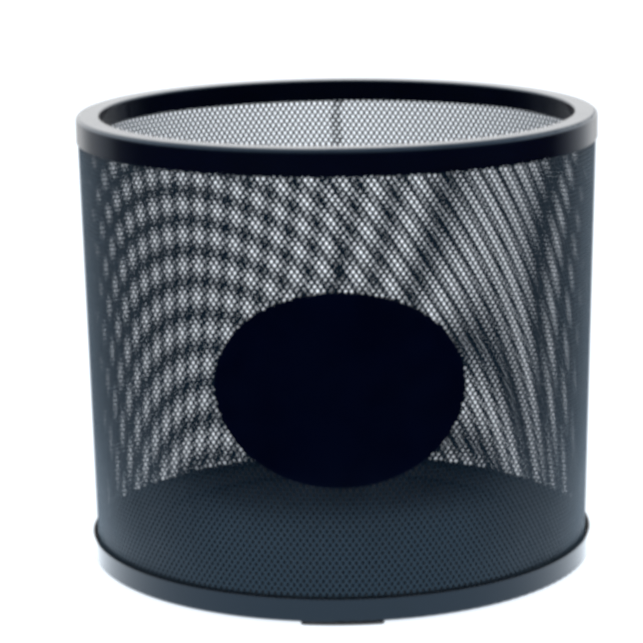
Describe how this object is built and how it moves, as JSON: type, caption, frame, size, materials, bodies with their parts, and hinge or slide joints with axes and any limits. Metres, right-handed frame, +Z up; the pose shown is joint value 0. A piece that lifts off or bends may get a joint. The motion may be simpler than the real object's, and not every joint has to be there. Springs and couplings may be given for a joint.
{
  "type": "wastebasket",
  "caption": "Round steel mesh wastebasket with a broad channel rim, a solid base in a base ring, low rubber feet and a blank oval plate on the front of its slightly tapered wall.",
  "frame": {"origin": "on the floor, at the bottom of the feet, on the basket's axis", "axes": "+Z up along the basket's axis, -Y out of the front, through the middle of the oval plate; +X is to the right for someone who faces the plate"},
  "size_m": [0.292, 0.292, 0.255],
  "materials": {
    "mesh_paint": "satin",
    "gloss_paint": "gloss",
    "plate_paint": "satin",
    "foot_rubber": "matte"
  },
  "bodies": {
    "root": {"mesh_wall": "mesh_paint", "top_rim": "gloss_paint", "base_ring": "gloss_paint", "base_pan": "gloss_paint", "oval_plate": "plate_paint", "foot_front": "foot_rubber", "foot_right": "foot_rubber", "foot_back": "foot_rubber", "foot_left": "foot_rubber"}
  },
  "joints": []
}
